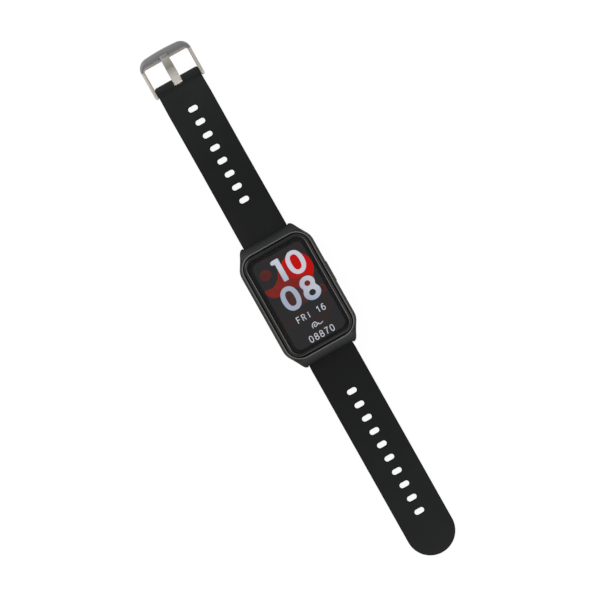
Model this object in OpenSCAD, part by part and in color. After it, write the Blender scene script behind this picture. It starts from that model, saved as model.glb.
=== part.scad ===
// Smartwatch: a chamfered rectangular case, a two-piece strap on quick-release
// spring bars, and a pin buckle. Millimetres. The display faces +Z, 12 o'clock
// and the buckle are towards +Y, and the side button is on +X. z = 0 is the flat
// face of the sensor window, on which the watch rests with its strap laid out.

/* [Case] */
// Width of the case
case_w = 32.6; // [32.4:0.1:34]
// Length of the case over the lug tips
case_l = 53.9; // [53.8:0.1:55]
// Width of the case's narrow ends
end_w = 22.4; // [22.3:0.1:23.4]
// Length of the straight sides between the chamfered corners
side_l = 37.4; // [36:0.2:39]
// Height of the rim above the resting plane
case_h = 10; // [10:0.1:11]
// Height at which the walls start to slope in to the rim
shoulder_h = 6.4; // [6.3:0.1:7]
// Height of the case's underside above the resting plane
foot_h = 0.8; // [0.6:0.1:1]

/* [Display] */
// Width of the cover glass
glass_w = 28.6; // [28.4:0.1:28.8]
// Length of the cover glass
glass_l = 45.2; // [45:0.1:45.4]
// Thickness of the cover glass
glass_t = 1.2; // [1:0.1:1.4]
// Gap between the glass and the rim
glass_gap = 0.4; // [0.2:0.05:0.4]
// Width of the display panel
panel_w = 25; // [24:0.2:26]
// Length of the display panel
panel_l = 41.4; // [40:0.2:41.6]

/* [Side button] */
// Length of the button's cap
button_l = 9.2; // [7:0.2:11]
// Height of the button's cap
button_h = 2.6; // [2:0.1:2.8]
// Place of the button along the case
button_y = 2.1; // [0:0.1:4]
// How far the button stands proud of the case
button_proud = 0.25; // [0.2:0.05:0.6]
// How far the button can be pressed
button_travel = 0.2; // [0.15:0.05:0.25]

/* [Strap] */
// Width of the strap where it meets the case
strap_w = 19.9; // [19.6:0.1:19.9]
// Thickness of the strap's flat stretch
strap_t = 2.4; // [2:0.1:2.6]
// Distance from the case's centre to the buckle's bar
buckle_y = 98; // [96:0.5:104]
// Distance from the case's centre to the tip of the tail
tail_y = 117.8; // [114:0.2:122]
// Number of slots in the buckle half
upper_slots = 8; // [6:1:8]
// Distance between slots in the buckle half
upper_pitch = 5.96; // [5.6:0.02:6]
// Number of slots in the tail half
lower_slots = 10; // [7:1:10]
// Distance between slots in the tail half
lower_pitch = 6.11; // [5.8:0.01:6.2]
// Distance from the case's centre to the first slot
first_slot_y = 43.9; // [42.6:0.1:45]
// Length of a slot, across the strap
slot_l = 4.2; // [3.9:0.1:5]
// Width of a slot, along the strap
slot_w = 2.35; // [2:0.05:2.6]

/* [Buckle] */
// Outer width of the buckle
buckle_w = 22.6; // [22.4:0.1:23.6]
// Opening between the buckle's arms
buckle_gap = 19.94; // [19.9:0.02:20.1]
// Distance from the bar to the buckle's front edge
buckle_reach = 14.6; // [13.6:0.2:16]
// Width of the front bar, along the strap
buckle_bar = 4.4; // [3.6:0.1:4.6]
// Width of the tongue
tongue_w = 3.73; // [3:0.01:3.8]

/* [Hidden] */

$fn = 48;

// Heights of the layers inside the case, from the back to the display
cover_t = 0.9;
cover_z = foot_h + cover_t;
gasket_t = 0.25;
window_flange_t = 0.3;
sensor_z = cover_z + window_flange_t;
sensor_t = 0.6;
sensor_board_t = 0.5;
glass_z = case_h - 0.7;
adhesive_t = 0.1;
ledge_z = glass_z - adhesive_t;
panel_t = 1.1;
backlight_t = 0.8;
frame_top = glass_z - panel_t - backlight_t - 0.1;
deck_t = 0.4;
board_t = 0.6;
board_z = frame_top - deck_t - board_t;

// Plan sizes inside the case
rim_w = case_w - 1.8;
rim_l = case_l - 6.5;
chamfer_lean = 0.7;
shoulder_r = 7;
tip_r = 0.9;
glass_r = 5;
cavity = [27.2, 40.8, 4];
display_cavity = [27.2, 42.6, 3.2];
cover_recess = [28.6, 41.9, 4.7];
frame_size = [26.8, 40.4, 3.8];
frame_wall = 1;
boss = [11.3, 18.1];
boss_r = 1.9;
boss_top = 5;
window_size = [17, 17, 5];
battery_size = [18.2, 21.5, 1];
battery_end = 2.5;
battery_z = [3.2, 6.2];
flex_t = 0.12;
pin_x = 2;
magnet_x = 6.5;
charging_y = -14;

// Side button, its stem and the switch behind it
button_z = 4.6;
stem_r = 0.85;
stem_clearance = 0.05;
cap_floor = case_w / 2 - 1.3;
cap_back = cap_floor + button_travel + 0.02;
stem_end = 12.7;
clip_x = 13.1;
clip_t = 0.25;
groove_r = 0.6;
seal_r = 1.3;
plunger_r = 0.6;
switch_x = [10.2, 12.1];

// Spring bars: [y, z] of the two on the case and of the one in the buckle
lug_bar = [24, 3.6];
buckle_axis = [buckle_y, 1.9];
lug_gap = 20.3;
pocket_inner = 21.6;
pocket_roof = 5.75;
hood_end = case_l / 2 - 0.35;
tube_r = 0.75;
tube_bore = 0.58;
rod_r = 0.55;
pin_r = 0.4;
pin_clearance = 0.05;
bar_bore_r = tube_r + 0.05;
release_travel = 1.05;
lug_pin_end = 11.1;
lever_x = 6.8;
lever_slot = [5.2, 7.4];
rod_inner = 6.2;
fixed_inner = 0.5;

// Strap
lug_barrel_r = 1.95;
buckle_barrel_r = buckle_axis[1];
droop_y = 44;
touch_y = 37;
swell_y = 90;
tail_r = 10;
profile_steps = 10;

// Buckle and tongue
arm_end = buckle_y - 2.5;
arm_end_r = buckle_axis[1];
buckle_front = buckle_y + buckle_reach;
opening_end = buckle_front - buckle_bar;
buckle_top = 2.9;
loop_r = 1.3;
loop_bore = tube_r + 0.07;
notch_w = tongue_w + 0.27;

// ---- Shared shapes ----

// Rectangle with round corners; size is [width, length, corner radius]
module round_rect(size) {
  square([size[0] - 2 * size[2], size[1]], center = true);
  square([size[0], size[1] - 2 * size[2]], center = true);
  for (x = [-1, 1], y = [-1, 1])
    translate([x * (size[0] / 2 - size[2]), y * (size[1] / 2 - size[2])])
      circle(size[2]);
}

module plate(size, z0, z1) {
  translate([0, 0, z0]) linear_extrude(z1 - z0) round_rect(size);
}

module ring(outer, inner, z0, z1) {
  translate([0, 0, z0]) linear_extrude(z1 - z0) difference() {
    round_rect(outer);
    round_rect(inner);
  }
}

// Box between two corners
module block(low, high) {
  translate(low) cube(high - low);
}

// Cylinder along X between x0 and x1, at [y, z]
module rod_x(at, r, x0, x1) {
  translate([x0, at[0], at[1]]) rotate([0, 90, 0]) cylinder(r = r, h = x1 - x0);
}

// Extrudes a [y, z] outline across the width, centred on x = 0
module across(width) {
  translate([-width / 2, 0, 0]) rotate([90, 0, 90]) linear_extrude(width) children();
}

// Mirrors what is built at the 12 o'clock end to the 6 o'clock end
module at_end(end) {
  mirror([0, end < 0 ? 1 : 0, 0]) children();
}

// ---- Case outline ----

chamfer_run = [case_l / 2 - side_l / 2, case_w / 2 - end_w / 2];
chamfer_normal = chamfer_run / norm(chamfer_run);
chamfer_offset = chamfer_normal * [case_w / 2, side_l / 2];

// Centre of the round of radius r between a side and a chamfer
function shoulder_centre(r) = let (x = case_w / 2 - r)
  [x, (chamfer_offset - r - chamfer_normal[0] * x) / chamfer_normal[1]];

// Centre of the round of radius r between a chamfer and an end
function tip_centre(r) = let (y = case_l / 2 - r)
  [(chamfer_offset - r - chamfer_normal[1] * y) / chamfer_normal[0], y];

// Points of an arc round a centre, from angle a0 to a1 in n steps
function arc(centre, r, a0, a1, n) = [for (k = [0 : n]) let (a = a0 + (a1 - a0) * k / n)
  centre + r * [cos(a), sin(a)]];

// Points of one quarter of the case's outline, from the side to the end
function case_quarter() = let (turn = atan2(chamfer_normal[1], chamfer_normal[0]))
  concat(arc(shoulder_centre(shoulder_r), shoulder_r, 0, turn, 5),
    arc(tip_centre(tip_r), tip_r, turn, 90, 4));

module case_outline() {
  quarter = case_quarter();
  back = [for (k = [len(quarter) - 1 : -1 : 0]) quarter[k]];
  polygon(concat(quarter, [for (p = back) [-p[0], p[1]]], -quarter,
    [for (p = back) [p[0], -p[1]]]));
}

// Half space behind a wall that faces angle: bevelled at its foot, upright to
// the shoulder, then leaning in to the rim by lean
module behind_wall(angle, reach, lean) {
  far = -case_l;
  bevel = 1.5;
  rotate([0, 0, angle]) rotate([90, 0, 0]) linear_extrude(2 * case_l, center = true)
    polygon([[far, foot_h], [reach - bevel, foot_h], [reach, foot_h + bevel],
      [reach, shoulder_h], [reach - lean, case_h], [far, case_h]]);
}

module case_body() {
  turn = atan2(chamfer_normal[1], chamfer_normal[0]);
  intersection() {
    linear_extrude(case_h) case_outline();
    behind_wall(0, case_w / 2, (case_w - rim_w) / 2);
    behind_wall(180, case_w / 2, (case_w - rim_w) / 2);
    behind_wall(90, case_l / 2, (case_l - rim_l) / 2);
    behind_wall(270, case_l / 2, (case_l - rim_l) / 2);
    behind_wall(turn, chamfer_offset, chamfer_lean);
    behind_wall(180 - turn, chamfer_offset, chamfer_lean);
    behind_wall(180 + turn, chamfer_offset, chamfer_lean);
    behind_wall(-turn, chamfer_offset, chamfer_lean);
  }
}

// Room for a strap's end under the hooded lugs, with the holes for its bar
module strap_pocket() {
  block([-lug_gap / 2, pocket_inner, 0], [lug_gap / 2, case_l, pocket_roof]);
  block([-lug_gap / 2, hood_end, 0], [lug_gap / 2, case_l, case_h]);
  rod_x(lug_bar, pin_r + pin_clearance, -lug_pin_end - 0.25, lug_pin_end + 0.25);
}

// Button's outline grown by clearance all round, between x0 and x1
module button_prism(clearance, x0, x1) {
  translate([x0, button_y, button_z]) rotate([90, 0, 90]) linear_extrude(x1 - x0) {
    square([button_l - button_h, button_h + 2 * clearance], center = true);
    for (end = [-1, 1])
      translate([end * (button_l - button_h) / 2, 0]) circle(button_h / 2 + clearance);
  }
}

module button_recess() {
  at = [button_y, button_z];
  button_prism(0.12, cap_floor, case_w);
  rod_x(at, stem_r + stem_clearance, stem_end, case_w / 2);
  rod_x(at, seal_r, 13, 14.4);
}

// ---- Case and display ----

module cover_glass() {
  edge = 0.6;
  top = glass_z + glass_t;
  color("black") hull() {
    plate([glass_w, glass_l, glass_r], glass_z, top - edge);
    plate([glass_w - 2 * edge, glass_l - 2 * edge, glass_r - edge], top - 0.05, top);
  }
}

module glass_adhesive() {
  color("black")
    ring([glass_w - 0.2, glass_l - 0.2, glass_r], [27.3, 42.7, 3.2], ledge_z, glass_z);
}

module display_panel() {
  color("darkslategray")
    plate([panel_w, panel_l, 2.6], glass_z - panel_t, glass_z);
}

module backlight() {
  color("whitesmoke")
    plate([panel_w, panel_l, 2.6], glass_z - panel_t - backlight_t, glass_z - panel_t);
}

// Flat cable from the panel's lower edge, round the frame's end and onto the board
module display_flex() {
  cable_w = 9;
  panel_end = -panel_l / 2;
  bend_y = panel_end - 0.35;
  tail_z = glass_z - 0.75;
  board_top = board_z + board_t;
  color("darkorange") {
    block([-cable_w / 2, bend_y, tail_z], [cable_w / 2, panel_end, tail_z + flex_t]);
    block([-cable_w / 2, bend_y, board_top], [cable_w / 2, bend_y + flex_t, tail_z + flex_t]);
    block([-cable_w / 2, bend_y, board_top], [cable_w / 2, panel_end + 2.8, board_top + flex_t]);
  }
}

module case_shell() {
  color("dimgray") difference() {
    case_body();
    plate([glass_w + 2 * glass_gap, glass_l + 2 * glass_gap, glass_r + glass_gap],
      ledge_z, case_h + 1);
    plate(display_cavity, frame_top - 0.8, case_h);
    difference() {
      plate(cavity, 0, case_h - 2);
      for (x = [-1, 1], y = [-1, 1])
        translate([x * boss[0], y * boss[1], 0]) cylinder(r = boss_r, h = boss_top);
    }
    plate(cover_recess, 0, cover_z + gasket_t);
    for (x = [-1, 1], y = [-1, 1])
      translate([x * boss[0], y * boss[1], 0]) cylinder(r = 0.62, h = boss_top - 0.6);
    for (end = [-1, 1]) at_end(end) strap_pocket();
    button_recess();
  }
}

module inner_frame() {
  inner = [frame_size[0] - 2 * frame_wall, frame_size[1] - 2 * frame_wall, 2.8];
  board_top = board_z + board_t;
  color("dimgray") difference() {
    plate(frame_size, cover_z + 0.3, frame_top);
    plate(inner, 0, frame_top - deck_t);
    for (x = [-1, 1], y = [-1, 1])
      translate([x * boss[0], y * boss[1], 0]) cylinder(r = boss_r + 0.2, h = boss_top + 0.2);
    block([-5.3, -frame_size[1], board_top - 0.05], [5.3, -17.7, case_h]);
    block([frame_size[0] / 2 - 2, button_y - 2.8, button_z - 1.7],
      [case_w, button_y + 2.8, button_z + 1.7]);
  }
}

module main_board() {
  color("darkgreen") plate([24.4, 37.8, 2.6], board_z, board_z + board_t);
}

// Chip on the board's underside; at is its corner in plan, size its [x, y, height]
module chip(at, size) {
  block([at[0], at[1], board_z - size[2]], [at[0] + size[0], at[1] + size[1], board_z]);
}

module processor() { color("black") chip([-9, 8.5], [6, 6, 0.9]); }

module memory_chip() { color("black") chip([-2.4, 6.8], [2.6, 4, 0.8]); }

module motion_sensor() { color("black") chip([5.2, 4.2], [2.5, 2.6, 0.8]); }

// Pressed lid over the processor and the memory
module shield_can() {
  wall = 0.25;
  low = [-10.5, 5.5, board_z - 1.3];
  high = [1, 16, board_z];
  color("silver") difference() {
    block(low, high);
    block(low + [wall, wall, wall], high + [-wall, -wall, wall]);
  }
}

// Foil antenna on the side of the frame away from the button
module antenna() {
  x = -frame_size[0] / 2;
  color("goldenrod") block([x - flex_t, -12, 3], [x, 12, 6.2]);
}

module battery() {
  y = battery_end - battery_size[1] / 2;
  color("lightgray") translate([0, y, 0]) plate(battery_size, battery_z[0], battery_z[1]);
}

// Flat lead from the battery's end up to the board
module battery_lead() {
  lead_z = board_z - 0.7;
  end = battery_end + 2;
  color("darkorange") {
    block([-4, battery_end, lead_z], [0, end, lead_z + flex_t]);
    block([-4, end - flex_t, lead_z], [0, end, board_z]);
  }
}

module vibration_motor() {
  color("silver") translate([6.8, 13.5, cover_z]) cylinder(r = 4, h = 2.6);
}

// ---- Side button ----

module side_button() {
  at = [button_y, button_z];
  color("gray") difference() {
    union() {
      button_prism(0, cap_back, case_w / 2 + button_proud);
      rod_x(at, stem_r, stem_end, cap_back);
    }
    difference() {
      rod_x(at, stem_r + 1, clip_x, clip_x + clip_t);
      rod_x(at, groove_r, clip_x - 1, clip_x + 1);
    }
  }
}

module button_seal() {
  at = [button_y, button_z];
  color("black") difference() {
    rod_x(at, seal_r - 0.01, 13.75, 14.35);
    rod_x(at, stem_r + 0.02, 13, 15);
  }
}

module button_clip() {
  at = [button_y, button_z];
  color("silver") difference() {
    rod_x(at, 1.25, clip_x, clip_x + clip_t);
    rod_x(at, groove_r, clip_x - 1, clip_x + 1);
  }
}

module button_switch() {
  at = [button_y, button_z];
  color("silver") difference() {
    block([switch_x[0], button_y - 2.1, button_z - 1.3],
      [switch_x[1], button_y + 2.1, button_z + 1.3]);
    rod_x(at, plunger_r + 0.05, switch_x[1] - 0.9, switch_x[1] + 1);
  }
}

module switch_plunger() {
  color("black") rod_x([button_y, button_z], plunger_r, switch_x[1] - 0.6, stem_end);
}

// ---- Back of the case ----

module back_cover() {
  window_hole = [window_size[0] + 0.1, window_size[1] + 0.1, window_size[2] + 0.05];
  color("dimgray") difference() {
    plate([cover_recess[0] - 0.2, cover_recess[1] - 0.2, cover_recess[2] - 0.1],
      foot_h, cover_z);
    plate(window_hole, 0, case_h);
    for (x = [-1, 1], y = [-1, 1]) translate([x * boss[0], y * boss[1], 0]) {
      cylinder(r = 0.7, h = case_h);
      cylinder(r = 1.3, h = foot_h + 0.5);
    }
    for (x = [-pin_x, pin_x]) translate([x, charging_y, 0]) cylinder(r = 1.02, h = case_h);
  }
}

module back_gasket() {
  color("orangered") ring([28.4, 41.7, 4.6], [27.4, 41, 4.1], cover_z, cover_z + gasket_t);
}

// Clear window: a plug through the back cover and a flange inside it
module sensor_window() {
  flange = [window_size[0] + 1.8, window_size[1] + 1.8, window_size[2] + 0.9];
  color("black") {
    plate(window_size, 0, cover_z);
    plate(flange, cover_z, cover_z + window_flange_t);
  }
}

module sensor_board() {
  z = sensor_z + sensor_t;
  color("darkgreen") plate([16, 16, 1], z, z + sensor_board_t);
}

module sensor_flex() {
  z = sensor_z + sensor_t + 0.2;
  color("darkorange") {
    block([3, 8, z], [7, 9, z + flex_t]);
    block([3, 9 - flex_t, z], [7, 9, board_z]);
  }
}

module sensor_leds() {
  color("lime") for (x = [-4.2, 4.2])
    block([x - 0.8, -1.2, sensor_z], [x + 0.8, 1.2, sensor_z + sensor_t]);
}

module photodiode() {
  color("black") block([-1.3, -1.3, sensor_z], [1.3, 1.3, sensor_z + sensor_t]);
}

module light_barrier() {
  color("black") ring([5, 5, 0.8], [3.4, 3.4, 0.4], sensor_z, sensor_z + sensor_t);
}

module charging_pins() {
  color("gold") for (x = [-pin_x, pin_x])
    translate([x, charging_y, foot_h]) cylinder(r = 1, h = 1.6);
}

module charging_magnets() {
  color("silver") for (x = [-magnet_x, magnet_x])
    translate([x, charging_y, cover_z]) cylinder(r = 1.5, h = 1);
}

module back_screws() {
  head_z = foot_h + 0.05;
  color("silver") for (x = [-1, 1], y = [-1, 1])
    translate([x * boss[0], y * boss[1], head_z]) difference() {
      union() {
        cylinder(r = 1.2, h = 0.45);
        cylinder(r = 0.6, h = 3);
      }
      for (turn = [0, 90]) rotate([0, 0, turn]) translate([-0.65, -0.12, -1]) cube([1.3, 0.24, 1.2]);
    }
}

// ---- Spring bars ----

// Thin tube; windowed has a slot underneath for the release lever
module bar_tube(at, half, windowed) {
  color("silver") difference() {
    rod_x(at, tube_r, -half, half);
    rod_x(at, tube_bore, -half - 1, half + 1);
    if (windowed)
      block([lever_slot[0], at[0] - 0.36, at[1] - 1], [lever_slot[1], at[0] + 0.36, at[1]]);
  }
}

// Stepped rod on the -X side: the stouter part is in the tube, the pin in its hole
module bar_fixed_tip(at, step, end, inner) {
  color("gainsboro") {
    rod_x(at, rod_r, -step, inner);
    rod_x(at, pin_r, -end, -step);
  }
}

module bar_sliding_tip(at, step, end, inner) {
  color("gainsboro") {
    rod_x(at, rod_r, inner, step);
    rod_x(at, pin_r, step, end);
  }
}

// Point i of n round the wire, at an angle along the coil
function coil_point(angle, i, n, x, mean_r, wire_r) = let (
    a = 360 * i / n,
    r = mean_r + wire_r * cos(a)
  ) [x + wire_r * sin(a), r * cos(angle), r * sin(angle)];

// Compression spring along X from x0 to x1
module coil(at, x0, x1) {
  turns = 9;
  per_turn = 12;
  sides = 6;
  wire_r = 0.07;
  mean_r = tube_bore - wire_r - 0.05;
  rings = turns * per_turn;
  run = x1 - x0 - 2 * wire_r;
  points = [for (k = [0 : rings], i = [0 : sides - 1])
    coil_point(360 * k / per_turn, i, sides, x0 + wire_r + run * k / rings, mean_r, wire_r)];
  walls = [for (k = [0 : rings - 1], i = [0 : sides - 1]) let (j = (i + 1) % sides)
    [k * sides + i, k * sides + j, (k + 1) * sides + j, (k + 1) * sides + i]];
  first = [for (i = [sides - 1 : -1 : 0]) i];
  last = [for (i = [0 : sides - 1]) rings * sides + i];
  color("silver") translate([0, at[0], at[1]])
    polyhedron(points, concat(walls, [first, last]), convexity = 10);
}

// Finger lever that pulls the sliding tip back, with its foot under the strap's end
module release_lever() {
  foot_z = lug_bar[1] - 2.1;
  color("gainsboro") translate([lever_x, lug_bar[0], foot_z]) {
    cylinder(r = 0.3, h = lug_bar[1] - foot_z);
    cylinder(r = 0.6, h = 0.5);
  }
}

module lug_bar_tube(end) { at_end(end) bar_tube(lug_bar, 9.3, true); }

module lug_bar_fixed_tip(end) {
  at_end(end) bar_fixed_tip(lug_bar, 9.9, lug_pin_end, fixed_inner);
}

module lug_bar_sliding_tip(end) {
  at_end(end) {
    bar_sliding_tip(lug_bar, 9.9, lug_pin_end, rod_inner);
    release_lever();
  }
}

module lug_bar_spring(end) { at_end(end) coil(lug_bar, fixed_inner, rod_inner); }

// ---- Straps ----

function falloff(t) = pow(1 - t, 1.5);

// [y, z] points over the top of the strap, from the flat stretch back to the case's bar
function droop_top() = let (start = lug_bar + lug_barrel_r * [cos(77), sin(77)])
  [for (k = [profile_steps : -1 : 0]) let (t = k / profile_steps)
    [start[0] + t * (droop_y - start[0]), strap_t + (start[1] - strap_t) * falloff(t)]];

// The same underneath, from the case's bar out to where the strap touches down
function droop_low() = let (start = lug_bar + lug_barrel_r * [cos(260), sin(260)])
  [for (k = [0 : profile_steps]) let (t = k / profile_steps)
    [start[0] + t * (touch_y - start[0]), start[1] * falloff(t)]];

// Strap's side from the case's bar outwards; beyond holds the points of its far end
module strap_side(beyond) {
  polygon(concat(droop_low(), beyond, droop_top(), arc(lug_bar, lug_barrel_r, 90, 250, 10)));
}

// Far end of the buckle half: it swells round the buckle's bar
function buckle_end() = let (rise = 2 * buckle_barrel_r - strap_t)
  concat(arc(buckle_axis, buckle_barrel_r, -90, 90, 12),
    [for (k = [profile_steps - 1 : -1 : 0]) let (t = k / profile_steps)
      [swell_y + t * (buckle_y - swell_y), strap_t + rise * (1 - cos(180 * t)) / 2]]);

module slots(count, pitch) {
  for (i = [0 : count - 1]) translate([0, first_slot_y + i * pitch]) {
    square([slot_l - slot_w, slot_w], center = true);
    for (x = [-1, 1]) translate([x * (slot_l - slot_w) / 2, 0]) circle(slot_w / 2);
  }
}

// Plan of the buckle half: a slight waist, and a notch for the tongue
module upper_plan() {
  root = strap_w / 2;
  waist = root - 0.25;
  end = root - 0.15;
  end_y = buckle_y + buckle_barrel_r;
  polygon([[-root, 20], [root, 20], [root, 30], [waist, 60], [end, 94], [-end, 94],
    [-waist, 60], [-root, 30]]);
  translate([0, end_y - 5]) round_rect([2 * end, 10, 0.9]);
}

module lower_plan() {
  root = strap_w / 2;
  body = root + 0.08;
  tail_start = tail_y - tail_r;
  polygon([[-root, 20], [root, 20], [root, 27.2], [body, 28.4], [tail_r, tail_start],
    [-tail_r, tail_start], [-body, 28.4], [-root, 27.2]]);
  translate([0, tail_start]) circle(tail_r);
}

// Bore for the case's spring bar, and the window under it for the release lever
module lug_bar_space() {
  rod_x(lug_bar, bar_bore_r, -strap_w, strap_w);
  block([4.9, 21, -1], [8.4, 26.2, lug_bar[1]]);
}

module upper_strap() {
  color("#262626") difference() {
    intersection() {
      across(strap_w + 2) strap_side(buckle_end());
      linear_extrude(10) difference() {
        upper_plan();
        slots(upper_slots, upper_pitch);
        translate([-notch_w / 2, buckle_y - 1.4]) square([notch_w, 10]);
      }
    }
    lug_bar_space();
    rod_x(buckle_axis, bar_bore_r, -strap_w, strap_w);
  }
}

module lower_strap() {
  color("#262626") at_end(-1) difference() {
    intersection() {
      across(strap_w + 2) strap_side([[tail_y + 1, 0], [tail_y + 1, strap_t]]);
      linear_extrude(10) difference() {
        lower_plan();
        slots(lower_slots, lower_pitch);
      }
    }
    lug_bar_space();
  }
}

// ---- Buckle ----

// Plan of the frame: bowed front, large front corners, open towards the strap
module buckle_plan() {
  bow_r = 80;
  corner_r = 4.6;
  body_y = (arm_end + buckle_front) / 2;
  difference() {
    intersection() {
      union() {
        translate([0, body_y]) round_rect([buckle_w, buckle_front - arm_end, corner_r]);
        translate([-buckle_w / 2, arm_end]) square([buckle_w, 8]);
      }
      translate([0, buckle_front - bow_r]) circle(bow_r, $fn = 240);
    }
    translate([0, (opening_end + arm_end) / 2 - 3])
      round_rect([buckle_gap, opening_end - arm_end + 6, 0.8]);
  }
}

// Side of the frame: round arm ends, and a front bar that falls away at its edge
module buckle_side() {
  front = buckle_front;
  arm = [arm_end + arm_end_r, arm_end_r];
  polygon(concat(arc(arm, arm_end_r, 90, 270, 12), [[front - 1, 0], [front, 0.8],
    [front, 1.7], [front - 1.6, 2.6], [front - 3.2, buckle_top],
    [opening_end - 0.6, buckle_top + 0.05]]));
}

module buckle_frame() {
  color("silver") difference() {
    intersection() {
      linear_extrude(10) buckle_plan();
      across(buckle_w + 2) buckle_side();
    }
    rod_x(buckle_axis, pin_r + pin_clearance, -10.95, 10.95);
  }
}

// Loop round the bar, and a blade that lies on the front bar
module tongue_side() {
  z = buckle_top + 0.12;
  tip = opening_end + 2.1;
  polygon(concat(arc(buckle_axis, loop_r, 90, 375, 20), [[buckle_y + 5, 2.6],
    [opening_end - 1, z], [tip, z], [tip, z + 0.5], [tip - 0.6, z + 0.85],
    [opening_end - 1, z + 0.9], [buckle_y + 5, 3.7]]));
}

module buckle_tongue() {
  color("lightgray") difference() {
    across(tongue_w) tongue_side();
    rod_x(buckle_axis, loop_bore, -tongue_w, tongue_w);
  }
}

module buckle_bar_tube() { bar_tube(buckle_axis, 9.2, false); }

module buckle_bar_fixed_tip() { bar_fixed_tip(buckle_axis, 9.7, 10.85, fixed_inner); }

module buckle_bar_sliding_tip() { bar_sliding_tip(buckle_axis, 9.7, 10.85, rod_inner); }

module buckle_bar_spring() { coil(buckle_axis, fixed_inner, rod_inner); }

// ---- Nodes ----

cover_glass();
glass_adhesive();
display_panel();
backlight();
display_flex();
case_shell();
inner_frame();
main_board();
processor();
memory_chip();
motion_sensor();
shield_can();
antenna();
battery();
battery_lead();
vibration_motor();
side_button();
button_seal();
button_clip();
button_switch();
switch_plunger();
back_cover();
back_gasket();
sensor_window();
sensor_board();
sensor_flex();
sensor_leds();
photodiode();
light_barrier();
charging_pins();
charging_magnets();
back_screws();
upper_strap();
lug_bar_tube(1);  // upper_bar_tube
lug_bar_fixed_tip(1);  // upper_bar_fixed_tip
lug_bar_sliding_tip(1);  // upper_bar_sliding_tip
lug_bar_spring(1);  // upper_bar_spring
lower_strap();
lug_bar_tube(-1);  // lower_bar_tube
lug_bar_fixed_tip(-1);  // lower_bar_fixed_tip
lug_bar_sliding_tip(-1);  // lower_bar_sliding_tip
lug_bar_spring(-1);  // lower_bar_spring
buckle_frame();
buckle_tongue();
buckle_bar_tube();
buckle_bar_fixed_tip();
buckle_bar_sliding_tip();
buckle_bar_spring();
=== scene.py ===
"""Smartwatch laid out flat on a pale table: the looks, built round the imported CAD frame."""

from math import atan2, copysign, cos, degrees, exp, pi, radians, sin, sqrt

import bmesh
import bpy
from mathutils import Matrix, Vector
from mathutils.geometry import tessellate_polygon


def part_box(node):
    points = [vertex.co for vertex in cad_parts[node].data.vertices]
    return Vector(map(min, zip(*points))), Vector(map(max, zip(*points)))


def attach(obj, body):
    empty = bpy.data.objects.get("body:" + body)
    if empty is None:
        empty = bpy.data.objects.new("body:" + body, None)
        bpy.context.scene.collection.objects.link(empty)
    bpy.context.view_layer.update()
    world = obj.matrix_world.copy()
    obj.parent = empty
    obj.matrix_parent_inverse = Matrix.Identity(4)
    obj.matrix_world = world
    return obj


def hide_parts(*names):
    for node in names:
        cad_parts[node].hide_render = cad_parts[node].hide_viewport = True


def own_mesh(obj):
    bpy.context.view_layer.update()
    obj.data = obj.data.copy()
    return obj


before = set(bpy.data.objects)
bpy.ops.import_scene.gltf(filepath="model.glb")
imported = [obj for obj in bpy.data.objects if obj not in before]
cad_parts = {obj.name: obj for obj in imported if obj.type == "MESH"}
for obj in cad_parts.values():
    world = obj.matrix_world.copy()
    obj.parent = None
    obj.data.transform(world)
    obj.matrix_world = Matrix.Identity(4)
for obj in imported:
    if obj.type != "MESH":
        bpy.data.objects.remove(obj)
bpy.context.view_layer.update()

MM = 0.001


# ---- Dimensions, in millimetres, from the frame ----

def box_mm(node):
    """Lowest and highest corner of a CAD node, in millimetres."""
    low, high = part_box(node)
    return low / MM, high / MM


def middle_yz(node):
    low, high = box_mm(node)
    return ((low.y + high.y) / 2, (low.z + high.z) / 2)


SHELL_LOW, SHELL_HIGH = box_mm("case_shell")
GLASS_LOW, GLASS_HIGH = box_mm("cover_glass")
BUTTON_LOW, BUTTON_HIGH = box_mm("side_button")
UPPER_HIGH = box_mm("upper_strap")[1]
LOWER_LOW, LOWER_HIGH = box_mm("lower_strap")
BUCKLE_LOW, BUCKLE_HIGH = box_mm("buckle_frame")
TONGUE_HIGH = box_mm("buckle_tongue")[1]
LUG_AXIS = middle_yz("upper_bar_tube")
BUCKLE_AXIS = middle_yz("buckle_bar_tube")
BUTTON_AXIS = middle_yz("side_button")

# Case
CASE_HALF_W = SHELL_HIGH.x
CASE_HALF_L = SHELL_HIGH.y
RIM_Z = SHELL_HIGH.z
FOOT_Z = SHELL_LOW.z
END_HALF_W = 11.2
SIDE_HALF_L = 18.7
SHOULDER_Z = 6.4
SHOULDER_R = 7
TIP_R = 0.9
RIM_HALF_W = CASE_HALF_W - 1.03
RIM_HALF_L = CASE_HALF_L - 3.55
RIM_R = 6.7
LEDGE_Z = GLASS_LOW.z - 0.1
HOOD_END = CASE_HALF_L - 0.35
POCKET_HALF_W = 10.15
POCKET_INNER = 21.6
POCKET_ROOF = 5.75
PIN_HOLE_R = 0.45
LUG_PIN_END = 11.35
BUCKLE_PIN_END = 10.95
SWITCH_HOLE_R = 0.9

# Rooms inside the case (half width, half length, corner radius) and the steps between them
DISPLAY_ROOM = (13.6, 21.3, 3.2)
CAVITY = (13.6, 20.4, 4)
COVER_ROOM = (14.3, 20.95, 4.7)
CAVITY_TOP = 6.6
COVER_TOP = 1.95

# Straps
STRAP_T = 2.4
STRAP_EDGE = 0.5
LUG_BARREL_R = 1.95
BUCKLE_BARREL_R = BUCKLE_AXIS[1]
BAR_BORE_R = 0.8
DROOP_Y = 44
TOUCH_Y = 37
SWELL_Y = 90
CREASE_Y = BUCKLE_AXIS[0] - 1.1
FIRST_SLOT_Y = 43.9
SLOT_HALF_L = 2.06
SLOT_R = 1.1
CELL_HALF_W = 3.4
CELL_STEPS = 8

# Buckle
ARM_HALF_GAP = 9.8
ARM_R = BUCKLE_AXIS[1]
ARM_Y = BUCKLE_LOW.y + ARM_R
OPENING_END = 108.2


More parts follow.
